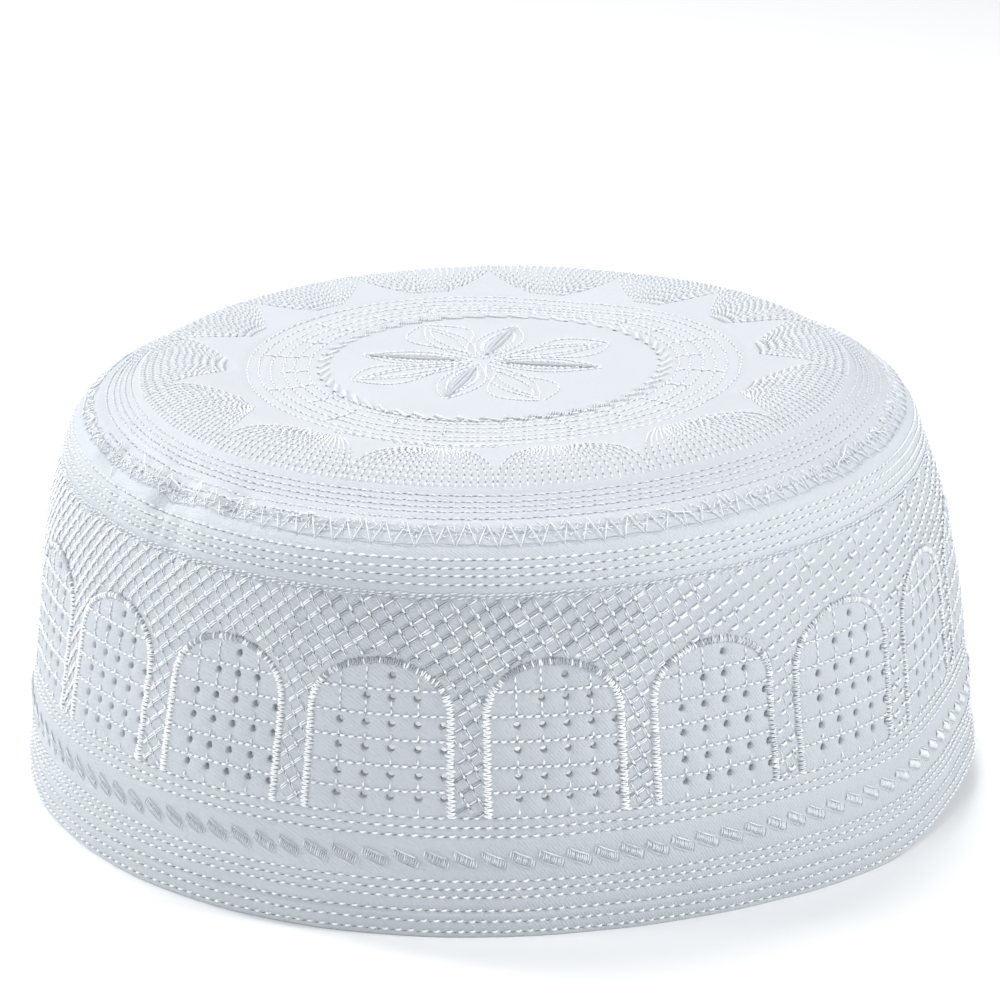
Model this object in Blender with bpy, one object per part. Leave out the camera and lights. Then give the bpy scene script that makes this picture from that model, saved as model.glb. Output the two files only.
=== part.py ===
# White embroidered prayer cap, standing on its rim. Metres, +Z up, front towards -Y.
# The cap is hollow cloth: a flared side band and a domed top panel that meet at the shoulder seam.
# Its origin is on the rim plane, under the middle of the cap's outline.

from math import cos, exp, hypot, pi, radians, sin

import bpy

# Driving dimensions
RIM_RADIUS = 0.0940  # a head of about 590 mm round
CLOTH = 0.0020  # two quilted layers and their filling
SEAM_GAP = 0.0003  # clearance between band and top panel
COLUMNS = 120  # facets round the cap
BAND_ROWS = 10
CROWN_ROWS = 8

# Outer face of the cloth, from the rim up to the middle of the top.
# Columns: place, height, share of the rim radius
SECTIONS = (
    ("rim", 0.0000, 1.000),
    ("arch_foot", 0.0234, 0.995),
    ("arch_top", 0.0523, 0.977),
    ("upper_rows", 0.0662, 0.945),
    ("shoulder", 0.0724, 0.923),
    ("seam", 0.0758, 0.880),
    ("top_rows", 0.0785, 0.835),
    ("top_ridge", 0.0840, 0.700),
    ("top_band", 0.0820, 0.540),
    ("rope_ring", 0.0819, 0.375),
    ("middle", 0.0819, 0.000),
)
SEAM_PLACE = "seam"

# How far each edge strays from a circle, as shares of its radius. The three lobes fade out towards the back.
# Columns: lobes round the edge, part of them left at the back, share at the front, share a quarter lobe on
RIM_WANDER = (
    (2, 1.0, -0.0170, -0.0230),
    (3, 0.0, 0.0015, -0.0252),
)
SEAM_WANDER = (
    (2, 1.0, 0.0380, 0.0157),
    (3, 0.0, 0.0061, -0.0009),
)

# How the limp cloth has settled: the top leans up to the right, has moved back and left of the rim,
# and its edge dips a little at the front and back.
TOP_RISE_TO_RIGHT = 0.058
TOP_MOVED_RIGHT = -0.0021
TOP_MOVED_BACK = 0.0022
RIM_MOVED_RIGHT = 0.0015
EDGE_DIP = 0.00055
LEANS_FROM = 0.0738  # the lean and the moves grow from the rim to this height

# The rim is lifted off the surface at the right, between these angles right of front.
RIM_LIFT = 0.0059
LIFT_STARTS = 54.0
LIFT_FULL = 79.0
LIFT_WANES = 100.0
LIFT_ENDS = 145.0
LIFT_FADES_FROM = 0.0200  # heights between which the lift fades out
LIFT_FADES_TO = 0.0700

# Dents in the cloth. Columns: place, degrees right of front, distance up the cloth, depth, half width, half height
DENTS = (
    ("seam_pit_left", -44.0, 0.0790, 0.0022, 0.0045, 0.0045),
    ("seam_tuck_left", -40.0, 0.0710, 0.0012, 0.0030, 0.0080),
    ("seam_pit_far_left", -61.0, 0.0800, 0.0018, 0.0050, 0.0045),
    ("seam_tuck_front_left", -34.0, 0.0800, 0.0012, 0.0040, 0.0040),
    ("arch_hollow_left", -28.0, 0.0430, 0.0010, 0.0150, 0.0120),
    ("arch_hollow_right", 34.0, 0.0400, 0.0010, 0.0180, 0.0120),
    ("seam_dip_right", 52.0, 0.0780, 0.0012, 0.0120, 0.0050),
    ("top_dish_back", 160.0, 0.1120, 0.0015, 0.0220, 0.0150),
)

CLOTH_COLOUR = (0.80, 0.83, 0.86, 1.0)
TOP_COLOUR = (0.84, 0.86, 0.90, 1.0)
CLOTH_ROUGHNESS = 0.62


def clear_scene():
    for item in list(bpy.data.objects):
        bpy.data.objects.remove(item)


def cloth_material(name, colour):
    material = bpy.data.materials.new(name)
    material.use_nodes = True
    shader = material.node_tree.nodes["Principled BSDF"]
    shader.inputs["Base Color"].default_value = colour
    shader.inputs["Roughness"].default_value = CLOTH_ROUGHNESS
    shader.inputs["Metallic"].default_value = 0.0
    return material


def smooth_through(before, start, end, after, share):
    """One coordinate of a Catmull-Rom curve, a share of the way from start to end."""
    return 0.5 * (
        2 * start
        + (end - before) * share
        + (2 * before - 5 * start + 4 * end - after) * share**2
        + (3 * start - before - 3 * end + after) * share**3
    )


def profile_curve(steps=24):
    """Points (radius, height) along the outer face, and the distance up the cloth to each."""
    points = [(share * RIM_RADIUS, height) for _, height, share in SECTIONS]
    below = (points[0][0], -points[1][1])
    beyond = (-points[-2][0], points[-2][1])
    held = [below, *points, beyond]
    curve = [points[0]]
    section_ends = [0]
    for place in range(1, len(points)):
        before, start, end, after = held[place - 1 : place + 3]
        for step in range(1, steps + 1):
            share = step / steps
            curve.append(
                tuple(smooth_through(*axis, share) for axis in zip(before, start, end, after))
            )
        section_ends.append(len(curve) - 1)
    distances = [0.0]
    for (r0, z0), (r1, z1) in zip(curve, curve[1:]):
        distances.append(distances[-1] + hypot(r1 - r0, z1 - z0))
    return curve, distances, section_ends


CURVE, DISTANCES, SECTION_ENDS = profile_curve()
CLOTH_LENGTH = DISTANCES[-1]
SEAM_INDEX = [place for place, *_ in SECTIONS].index(SEAM_PLACE)
SEAM_DISTANCE = DISTANCES[SECTION_ENDS[SEAM_INDEX]]


def on_curve(distance):
    """Radius and height of the outer face at a distance up the cloth."""
    for index in range(1, len(CURVE)):
        if DISTANCES[index] >= distance or index == len(CURVE) - 1:
            span = DISTANCES[index] - DISTANCES[index - 1]
            share = min(max((distance - DISTANCES[index - 1]) / span, 0.0), 1.0)
            (r0, z0), (r1, z1) = CURVE[index - 1 : index + 1]
            return r0 + (r1 - r0) * share, z0 + (z1 - z0) * share


def outward(distance):
    """Direction (along the radius, upward) that the outer face looks in."""
    reach = 0.0008
    r0, z0 = on_curve(max(distance - reach, 0.0))
    r1, z1 = on_curve(min(distance + reach, CLOTH_LENGTH))
    length = hypot(r1 - r0, z1 - z0)
    return (z1 - z0) / length, (r0 - r1) / length


def dent_depth(angle, distance, radius):
    depth = 0.0
    for _, degrees, up_cloth, deepest, half_width, half_height in DENTS:
        turn = (angle - radians(degrees) + pi) % (2 * pi) - pi
        across = turn * radius / half_width
        along = (distance - up_cloth) / half_height
        depth += deepest * exp(-across * across - along * along)
    return depth


def wander(angle, share_of_seam):
    """Radius factor at an angle, changing from the rim's outline to the seam's outline."""
    factor = 1.0
    for (lobes, at_back, rim_front, rim_side), (_, _, seam_front, seam_side) in zip(RIM_WANDER, SEAM_WANDER):
        front = rim_front + (seam_front - rim_front) * share_of_seam
        side = rim_side + (seam_side - rim_side) * share_of_seam
        left_of_it = at_back + (1 - at_back) * (1 + cos(angle)) / 2
        factor += left_of_it * (front * cos(lobes * angle) + side * sin(lobes * angle))
    return factor


def ease(value, start, end):
    """0 before start and 1 after end, with a soft change between them."""
    share = min(max((value - start) / (end - start), 0.0), 1.0)
    return share * share * (3 - 2 * share)


def rim_lift(angle, height):
    """How far the cloth is raised where the rim is lifted off the surface."""
    degrees_right = (angle * 180 / pi) % 360
    around = ease(degrees_right, LIFT_STARTS, LIFT_FULL) - ease(degrees_right, LIFT_WANES, LIFT_ENDS)
    return RIM_LIFT * around * (1 - ease(height, LIFT_FADES_FROM, LIFT_FADES_TO))


def cloth_point(angle, distance, inside=0.0):
    """A point on the cloth: angle from the front, distance up it from the rim, depth below its outer face."""
    radius, height = on_curve(distance)
    out, up = outward(distance)
    sunk = inside + dent_depth(angle, distance, radius)
    radius -= out * sunk
    height -= up * sunk
    if distance == 0.0:
        height = 0.0
    share = min(max(height / LEANS_FROM, 0.0), 1.0)
    dip = EDGE_DIP * cos(2 * angle) * min(radius / RIM_RADIUS, 1.0) ** 2
    radius *= wander(angle, share)
    x = radius * sin(angle) + share * TOP_MOVED_RIGHT + (1 - share) * RIM_MOVED_RIGHT
    y = -radius * cos(angle) + share * TOP_MOVED_BACK
    lean = TOP_RISE_TO_RIGHT * x - dip
    return x, y, height + rim_lift(angle, height) + share * lean


def spread(start, end, rows):
    return [start + (end - start) * row / rows for row in range(rows + 1)]


def ring_angles():
    return [2 * pi * column / COLUMNS for column in range(COLUMNS)]


def shell_mesh(name, distances, closes_at_middle):
    """A cloth wall as one closed mesh: outer rings, inner rings and the cut edges between them."""
    points = []
    outer_rings = []
    inner_rings = []
    for inside, rings in ((0.0, outer_rings), (CLOTH, inner_rings)):
        for distance in distances:
            rings.append(range(len(points), len(points) + COLUMNS))
            points += [cloth_point(angle, distance, inside) for angle in ring_angles()]
    faces = []

    def join(lower, upper):
        for column in range(COLUMNS):
            following = (column + 1) % COLUMNS
            faces.append((lower[column], lower[following], upper[following], upper[column]))

    for lower, upper in zip(outer_rings, outer_rings[1:]):
        join(lower, upper)
    for lower, upper in zip(inner_rings, inner_rings[1:]):
        join(upper, lower)
    join(inner_rings[0], outer_rings[0])
    if closes_at_middle:
        for inside, ring, turned in ((0.0, outer_rings[-1], False), (CLOTH, inner_rings[-1], True)):
            middle = len(points)
            points.append(cloth_point(0.0, CLOTH_LENGTH, inside))
            for column in range(COLUMNS):
                following = (column + 1) % COLUMNS
                fan = (ring[column], ring[following], middle)
                faces.append(fan[::-1] if turned else fan)
    else:
        join(outer_rings[-1], inner_rings[-1])
    mesh = bpy.data.meshes.new(name)
    mesh.from_pydata(points, [], faces)
    return mesh


def outline_middle():
    """Middle of the cap's outline from above, which becomes the origin."""
    reach = [cloth_point(angle, distance) for distance in spread(0.0, SEAM_DISTANCE, 4) for angle in ring_angles()]
    xs = [x for x, _, _ in reach]
    ys = [y for _, y, _ in reach]
    return (min(xs) + max(xs)) / 2, (min(ys) + max(ys)) / 2


def add_piece(name, distances, closes_at_middle, colour, middle):
    mesh = shell_mesh(name, distances, closes_at_middle)
    for vertex in mesh.vertices:
        vertex.co.x -= middle[0]
        vertex.co.y -= middle[1]
    mesh.shade_smooth()
    mesh.set_sharp_from_angle(angle=radians(50))
    piece = bpy.data.objects.new(name, mesh)
    piece.data.materials.append(cloth_material(name + "_cloth", colour))
    bpy.context.scene.collection.objects.link(piece)
    return piece


def build_cap():
    middle = outline_middle()
    band = spread(0.0, SEAM_DISTANCE - SEAM_GAP / 2, BAND_ROWS)
    crown = spread(SEAM_DISTANCE + SEAM_GAP / 2, CLOTH_LENGTH, CROWN_ROWS)[:-1]
    add_piece("side_band", band, False, CLOTH_COLOUR, middle)
    add_piece("crown_top", crown, True, TOP_COLOUR, middle)


clear_scene()
build_cap()
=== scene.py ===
from math import cos, pi, radians, sin

import bpy
import numpy as np
from mathutils import Matrix, kdtree
from mathutils.geometry import delaunay_2d_cdt


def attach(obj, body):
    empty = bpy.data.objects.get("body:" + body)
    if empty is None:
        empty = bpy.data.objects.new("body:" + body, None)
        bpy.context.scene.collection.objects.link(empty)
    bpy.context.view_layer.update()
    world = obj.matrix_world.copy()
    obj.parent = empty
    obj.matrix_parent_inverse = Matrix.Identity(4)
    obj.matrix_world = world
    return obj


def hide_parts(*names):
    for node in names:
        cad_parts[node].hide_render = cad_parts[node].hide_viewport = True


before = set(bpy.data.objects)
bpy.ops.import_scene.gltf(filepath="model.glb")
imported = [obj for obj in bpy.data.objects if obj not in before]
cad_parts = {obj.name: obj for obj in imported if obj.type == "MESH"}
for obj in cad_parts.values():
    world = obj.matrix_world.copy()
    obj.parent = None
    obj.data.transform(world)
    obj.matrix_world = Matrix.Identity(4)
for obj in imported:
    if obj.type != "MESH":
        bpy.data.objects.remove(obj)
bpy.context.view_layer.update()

# White embroidered prayer cap. Sizes of the cap are in millimetres and degrees, and meshes are made in metres
chance = np.random.RandomState(11)
print("frame loaded")

# How the cap stands: the same outline, lean, lifted rim and dents as the solids have
capShape = {
    "rimRadius": 94.0,            # a head of about 590 mm round
    "wall": 1.9,                  # two quilted layers and their filling
    "seamGap": 0.06,              # between side band and top panel, where the real ones are sewn together
    "topRiseToRight": 0.058,      # the limp top leans up to the right
    "topMoved": (-2.1, 2.2),      # right, back
    "rimMoved": 1.5,
    "edgeDip": 0.55,              # the top's edge dips at front and back
    "leansFrom": 73.8,            # the lean grows from the rim to this height
    "rimLift": 5.9,               # the rim is off the surface at the right
    "liftAngles": (54, 79, 100, 145),
    "liftFades": (20, 70),        # heights
}

# Outer face of the cloth from the rim to the middle of the top: place, height, share of the rim radius
sections = (
    ("rim", 0.0, 1.000),
    ("archFoot", 23.4, 0.995),
    ("archTop", 52.3, 0.977),
    ("upperRows", 66.2, 0.945),
    ("shoulder", 72.4, 0.923),
    ("seam", 75.8, 0.880),
    ("topRows", 78.5, 0.835),
    ("topRidge", 84.0, 0.700),
    ("topBand", 82.0, 0.540),
    ("ropeRing", 81.9, 0.375),
    ("middle", 81.9, 0.000),
)

# How far each edge strays from a circle: lobes, part left at the back, share at the front,
# and share a quarter lobe on
rimWander = ((2, 1.0, -0.0170, -0.0230), (3, 0.0, 0.0015, -0.0252))
seamWander = ((2, 1.0, 0.0380, 0.0157), (3, 0.0, 0.0061, -0.0009))

# Dents: place, degrees right of front, distance up the cloth, depth, half width, half height
dents = (
    ("seamPitLeft", -45.5, 77.6, 2.0, 4.5, 4.5),
    ("seamTuckLeft", -42.0, 70.5, 1.2, 3.0, 8.0),
    ("seamPitFarLeft", -63.0, 79.0, 1.6, 5.0, 4.5),
    ("seamTuckFrontLeft", -34.0, 80.0, 1.2, 4.0, 4.0),
    ("archHollowLeft", -28.0, 43.0, 1.0, 15.0, 12.0),
    ("archHollowRight", 34.0, 40.0, 1.0, 18.0, 12.0),
    ("seamDipRight", 52.0, 78.0, 1.2, 12.0, 5.0),
    ("topDishBack", 160.0, 112.0, 1.5, 22.0, 15.0),
)
# Small puckers where the seam thread draws the cloth in, with the same columns
puckers = (
    ("seamPitLeft", -47.0, 74.2, 1.5, 2.2, 2.4),
    ("creaseLeft", -45.2, 71.0, 0.9, 1.4, 4.5),
    ("seamPitFarLeft", -67.0, 77.0, 1.2, 2.4, 2.0),
    ("seamPitNearLeft", -35.0, 78.2, 0.8, 2.0, 1.8),
    ("seamPitFront", -20.0, 76.6, 0.5, 2.6, 1.8),
    ("creaseFarLeft", -56.0, 72.0, 0.5, 1.6, 4.5),
    ("topPuckerLeft", -50.0, 83.5, 0.5, 3.0, 2.5),
    ("edgeDipLeft", -56.0, 80.4, 0.7, 22.0, 1.9),
)


def smoothThrough(before, start, end, after, share):
    return 0.5 * (
        2 * start
        + (end - before) * share
        + (2 * before - 5 * start + 4 * end - after) * share**2
        + (3 * start - before - 3 * end + after) * share**3
    )


def drawProfile(steps=60):
    points = np.array([(share * capShape["rimRadius"], height) for _, height, share in sections])
    held = np.vstack([(points[0, 0], -points[1, 1]), points, (-points[-2, 0], points[-2, 1])])
    share = np.linspace(0, 1, steps, endpoint=False)[:, None]
    runs = [smoothThrough(*held[place - 1:place + 3], share) for place in range(1, len(points))]
    curve = np.vstack(runs + [points[-1:]])
    along = np.concatenate([[0], np.cumsum(np.linalg.norm(np.diff(curve, axis=0), axis=1))])
    slope = np.gradient(curve, along, axis=0)
    return curve[:, 0], curve[:, 1], along, slope[:, 1], -slope[:, 0]


profileRadius, profileHeight, profileAlong, outwardPart, upwardPart = drawProfile()
seamEnd = [place for place, *_ in sections].index("seam") * 60
seamAlong = profileAlong[seamEnd]


def alongSide(height):  # distance up the cloth for a height on the side
    return np.interp(height, profileHeight[:seamEnd + 1], profileAlong[:seamEnd + 1])


def alongTop(radius):  # distance up the cloth for a radius on the top
    return np.interp(-radius, -profileRadius[seamEnd:], profileAlong[seamEnd:])


def ease(value, start, end):
    share = np.clip((value - start) / (end - start), 0, 1)
    return share * share * (3 - 2 * share)


def wander(angle, share):
    factor = 1.0
    for (lobes, atBack, rimFront, rimSide), (_, _, seamFront, seamSide) in zip(rimWander, seamWander):
        front = rimFront + (seamFront - rimFront) * share
        side = rimSide + (seamSide - rimSide) * share
        left = atBack + (1 - atBack) * (1 + np.cos(angle)) / 2
        factor = factor + left * (front * np.cos(lobes * angle) + side * np.sin(lobes * angle))
    return factor


def rimLift(angle, height):
    right = np.degrees(angle) % 360
    starts, full, wanes, ends = capShape["liftAngles"]
    around = ease(right, starts, full) - ease(right, wanes, ends)
    return capShape["rimLift"] * around * (1 - ease(height, *capShape["liftFades"]))


def dentDepth(angle, along, radius):
    depth = 0.0
    for _, degrees, upCloth, deepest, halfWidth, halfHeight in dents + puckers:
        turn = (angle - radians(degrees) + pi) % (2 * pi) - pi
        across, up = turn * radius / halfWidth, (along - upCloth) / halfHeight
        depth = depth + deepest * np.exp(-across**2 - up**2)
    return depth


def capPoint(angle, along, out=0.0):  # points on the cloth, out of its outer face by that much
    radius = np.interp(along, profileAlong, profileRadius)
    height = np.interp(along, profileAlong, profileHeight)
    sunk = dentDepth(angle, along, radius) - out
    radius = radius - np.interp(along, profileAlong, outwardPart) * sunk
    height = height - np.interp(along, profileAlong, upwardPart) * sunk
    height = np.where(along <= 0, 0.0, height)
    share = np.clip(height / capShape["leansFrom"], 0, 1)
    dip = capShape["edgeDip"] * np.cos(2 * angle) * np.minimum(radius / capShape["rimRadius"], 1) ** 2
    radius = radius * wander(angle, share)
    x = radius * np.sin(angle) + share * capShape["topMoved"][0] + (1 - share) * capShape["rimMoved"]
    y = -radius * np.cos(angle) + share * capShape["topMoved"][1]
    z = height + rimLift(angle, height) + share * (capShape["topRiseToRight"] * x - dip)
    return np.stack([x - middle[0], y - middle[1], z], -1)


# The origin is under the middle of the cap's outline
middle = (0.0, 0.0)
reach = capPoint(np.tile(np.arange(120) * pi / 60, 5), np.repeat(np.linspace(0, seamAlong, 5), 120))
middle = tuple((reach[:, :2].min(0) + reach[:, :2].max(0)) / 2)


def unit(vectors):
    return vectors / np.maximum(np.linalg.norm(vectors, axis=-1, keepdims=True), 1e-9)


# Embroidery of the side band. Heights are above the rim, and degrees are right of front.
# Here and below, a thread is given by its width, its thickness and how high each point of a stitch lies
# over the cloth, in thicknesses. A stitch is given by its length with the gap after it, and that gap.
# Needle holes are given by the gap that they lie in, their half length and their half width
sideStitching = {
    "hemRows": (1.4, 3.5, 5.5, 8.2, 9.8, 11.3),
    "footRows": (20.4, 22.1, 23.9),
    "latticeEdgeRows": (65.6, 66.2),
    "upperRows": (68.0, 69.5, 71.0, 72.4),
    "hemFold": 4.8,               # top of the turned-in edge
    "hemStitch": (2.15, 1.0),
    "footStitch": (2.2, 1.0),
    "upperStitch": (2.35, 0.95),
    "latticeEdgeStitch": (1.55, 0.15),
    "thread": (0.50, 0.44, (-0.3, 0.8, 0.8, -0.3)),
    "upperThread": (0.40, 0.44, (-0.3, 0.8, 0.8, -0.3)),
    "latticeEdgeThread": (0.34, 0.40, (-0.3, 0.85, 0.85, -0.3)),
    "slant": 0.10,                # how far each stitch rises from its row at one end and sinks at the other
    "latticeEdgeSlants": (0.20, 0.12),
}
rowKinds = ("hemRows", "footRows", "latticeEdgeRows", "upperRows")
sideRows = tuple(height for kind in rowKinds for height in sideStitching[kind])
arches = {
    "count": 18,
    "firstDegrees": 8.0,
    "halfWidth": 12.9,            # to the middle of the satin column
    "foot": 24.1,
    "spring": 44.0,
    "rise": 9.9,
    "satinWidth": 1.75,
    "satinStep": 0.42,
    "satin": (0.38, 0.46, (-0.25, 0.95, 0.95, -0.25)),
    "satinOnRight": (0.38, 0.44, (-0.25, 0.9, 0.9, -0.25)),
    "satinOverTop": (0.38, 0.42, (-0.25, 0.85, 0.85, -0.25)),
    "rows": (29.0, 33.8, 38.9, 43.7, 48.5),
    "columns": (-6.9, -2.1, 2.6, 7.4),
    "stitch": (1.62, 0.42),
    "rowThread": (0.50, 0.46, (-0.35, 0.9, 0.9, -0.35)),
    "columnThread": (0.36, 0.34, (-0.35, 0.75, 0.75, -0.35)),
    "rowHoles": (0.5, 0.26, 0.12),
    "columnHoles": (0.5, 0.24, 0.10),
}
# Eyelets in each arch: height, places across it
eyelets = (
    (27.6, (-7.1, -2.3, 2.3, 7.2, 11.7)),
    (31.9, (-7.1, -2.3, 2.3, 7.2, 11.7)),
    (37.1, (-7.1, -2.3, 2.3, 7.1, 11.7)),
    (41.9, (-7.1, -2.3, 2.3, 7.0, 11.6)),
    (47.0, (-2.3, 2.3, 6.9)),
    (51.2, (2.3,)),
)
eyeletRadius = 0.70
# How the sewing draws the quilted cloth in: depth, half width
quilting = {
    "sideRow": (0.34, 0.50),
    "archRow": (0.26, 0.55),
    "archColumn": (0.16, 0.55),
    "archSatin": (0.30, 1.3),
    "eyelet": (0.34, 1.2),
    "topRow": (0.24, 0.45),
    "middleRing": (0.20, 0.6),
    "topRope": (0.30, 1.6),
}
lattice = {
    "cell": 2.68,
    "risingDegrees": 31.5,
    "fallingDegrees": -57.5,
    "turn": 0.28,                 # how fast the sewn grid turns against the rows, going round
    "middleHeight": 60.0,
    "low": 24.4,
    "high": 65.5,
    "rising": (0.32, 0.36, (-0.3, 0.8, 0.8, -0.3)),
    "risingPaintedShade": (0.32, 0.36, (-0.3, 0.7, 0.7, -0.3)),
    "bold": (0.42, 0.44, (-0.3, 0.9, 0.9, -0.3)),  # on the right
    "falling": (0.22, 0.20, (-0.3, 0.7, -0.3)),
    "knots": (0.52, 0.40, (0.3, 1.5, 0.3)),
    "knotHoles": (0.35, 0.34, 0.16),
}
latticeSpan = int(620 / lattice["cell"])
perDegree = capShape["rimRadius"] * pi / 180  # millimetres of rim
backJoin = 178.0
archCentres = arches["firstDegrees"] + 20.0 * np.arange(arches["count"])
archCentres = np.where(archCentres > backJoin, archCentres - 360, archCentres)

# How far the sewn pattern has crept round the cap: place in the pattern, creep, both in degrees
creep = (
    (-180, 0.3),
    (-110, 1.1),
    (-80, 1.6),
    (-64, 1.5),
    (-60, 0.7),
    (-44, -0.1),
    (-40, 0.0),
    (-24, -0.6),
    (-20, -1.1),
    (-4, -0.1),
    (0, -0.4),
    (16, -0.2),
    (20, -0.5),
    (36, 0.0),
    (40, -0.5),
    (58, -0.1),
    (62, -0.3),
    (76, -4.4),
    (82, -6.0),
    (100, -5.2),
    (140, -2.0),
    (180, 0.3),
)
creepPlaces, creepDegrees = np.array(creep, float).T
legLean = 1.4                     # degrees that the arches lean in towards the front, over 21 mm


def surfaceAngle(patternDegrees, height):
    wrapped = (patternDegrees + 180) % 360 - 180
    crept = sum(
        np.interp(wrapped + aside, creepPlaces, creepDegrees, period=360) for aside in (-2, -0.7, 0.7, 2)
    ) / 4
    window = ease(90 - np.abs(wrapped), 4, 30)
    lean = legLean * np.sin(2 * np.radians(wrapped)) * window * np.clip(height - 24, -10, 30) / 21
    return np.radians(patternDegrees + crept - lean)


def asDegrees(pattern):  # from millimetres round the rim to degrees
    return pattern / (perDegree, 1.0)


def atEveryArch(points):  # the same points or stitches in each arch
    shifts = np.stack([archCentres * perDegree, np.zeros(len(archCentres))], -1)
    return points[None] + shifts.reshape(len(archCentres), *[1] * (points.ndim - 1), 2)


def acrossArch(degrees):  # distance from the middle of the nearest arch
    local = (degrees - arches["firstDegrees"] + 10) % 20 - 10
    return local * perDegree


def archDistance(across, height):  # distance out from the arch's satin line, negative inside
    above = np.maximum(height - arches["spring"], 0)
    a, b = arches["halfWidth"], arches["rise"]
    size = np.sqrt((across / a) ** 2 + (above / b) ** 2)
    slope = np.sqrt((across / a**2) ** 2 + (above / b**2) ** 2) / np.maximum(size, 1e-6)
    return np.where(height > arches["spring"], (size - 1) / np.maximum(slope, 1e-6), np.abs(across) - a)


latticeFarUp = 0.965 * capShape["rimRadius"] / lattice["turn"]  # to the middle that the grid turns about


def latticePlane(degrees, height):
    turn = np.radians(degrees) * lattice["turn"]
    reachOut = latticeFarUp - (height - lattice["middleHeight"])
    return reachOut * np.sin(turn), latticeFarUp - reachOut * np.cos(turn)


def fromLatticePlane(u, v):
    reachOut = np.hypot(u, latticeFarUp - v)
    turn = np.arctan2(u, latticeFarUp - v)
    return np.degrees(turn) / lattice["turn"], latticeFarUp - reachOut + lattice["middleHeight"]


risingNormal, fallingNormal = (
    np.array([-sin(radians(degrees)), cos(radians(degrees))])
    for degrees in (lattice["risingDegrees"], lattice["fallingDegrees"])
)


def latticeCounts(degrees, height):  # how many lines up each family a point lies
    u, v = latticePlane(degrees, height)
    rising = (u * risingNormal[0] + v * risingNormal[1]) / lattice["cell"]
    falling = (u * fallingNormal[0] + v * fallingNormal[1]) / lattice["cell"]
    return rising, falling


def latticeNode(rising, falling):
    sides = np.array([risingNormal, fallingNormal])
    u, v = np.linalg.solve(sides, np.stack([rising, falling]) * lattice["cell"])
    return fromLatticePlane(u, v)


def inLattice(degrees, height, margin=0.0):
    clear = archDistance(acrossArch(degrees), height) > arches["satinWidth"] / 2 + margin
    return clear & (height > lattice["low"] + margin) & (height < lattice["high"] - margin)


def drawnIn(away, kind):  # how deep the cloth lies at a distance from that kind of sewing
    depth, halfWidth = quilting[kind]
    return depth * np.exp(-(away / halfWidth) ** 2)


def sideRelief(degrees, height):  # how far the quilted cloth stands out
    across = acrossArch(degrees)
    fromArch = archDistance(across, height)
    turn, fold = np.radians(degrees), sideStitching["hemFold"]
    relief = 0.10 * np.sin(turn * 23 + height * 0.11) * np.sin(height * 0.19 + turn * 7)
    for row in sideRows:
        relief = relief - drawnIn(height - row, "sideRow")
    relief = relief + 0.30 * (1 - ease(height, fold - 0.15, fold + 0.25))
    relief = relief - 0.55 * np.exp(-np.maximum(height, 0) / 0.45)
    within = ease(-fromArch, 0.6, 1.6) * (height > arches["foot"])
    quilt = 0.0
    for row in arches["rows"]:
        quilt = quilt + drawnIn(height - row, "archRow")
    for column in arches["columns"]:
        quilt = quilt + drawnIn(across - column, "archColumn")
    relief = relief - quilt * within
    relief = relief - drawnIn(fromArch, "archSatin") * (height > arches["foot"] - 0.5)
    rising, falling = latticeCounts(degrees, height)
    offRising = np.abs(rising - np.round(rising)) * lattice["cell"]
    offFalling = np.abs(falling - np.round(falling)) * lattice["cell"]
    lines = np.exp(-(offRising / 0.42) ** 2) + 0.9 * np.exp(-(offFalling / 0.36) ** 2)
    relief = relief - 0.34 * np.minimum(lines, 1.3) * inLattice(degrees, height, -0.2)
    pull, (depth, halfWidth) = 0.0, quilting["eyelet"]
    for row, places in eyelets:
        for place in places:
            pull = pull + np.exp(-((across - place) ** 2 + (height - row) ** 2) / halfWidth**2)
    relief = relief - depth * pull * (height > arches["foot"])
    return relief + seamRelief(degrees, alongSide(height) - seamAlong)


def seamRelief(degrees, fromSeam):  # the cloth dips at the seam and where its thread goes in
    scallops = 0.5 + 0.5 * np.cos(np.radians(degrees) * 150)
    fromNeedle = np.abs(fromSeam) - 2.3
    return -0.14 * np.exp(-(fromSeam / 0.8) ** 2) - 0.16 * scallops * np.exp(-(fromNeedle / 1.3) ** 2)


def sidePlace(pattern, relief=True):  # pattern: degrees, height
    degrees, height = pattern[..., 0], pattern[..., 1]
    angle, along = surfaceAngle(degrees, height), alongSide(height)
    point = capPoint(angle, along)
    around = capPoint(angle + 0.004, along) - capPoint(angle - 0.004, along)
    up = capPoint(angle, along + 0.25) - capPoint(angle, np.maximum(along - 0.25, 0.01))
    normal = unit(np.cross(around, up))
    if relief:
        point = point + normal * sideRelief(degrees, height)[..., None]
    return point, normal


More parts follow.
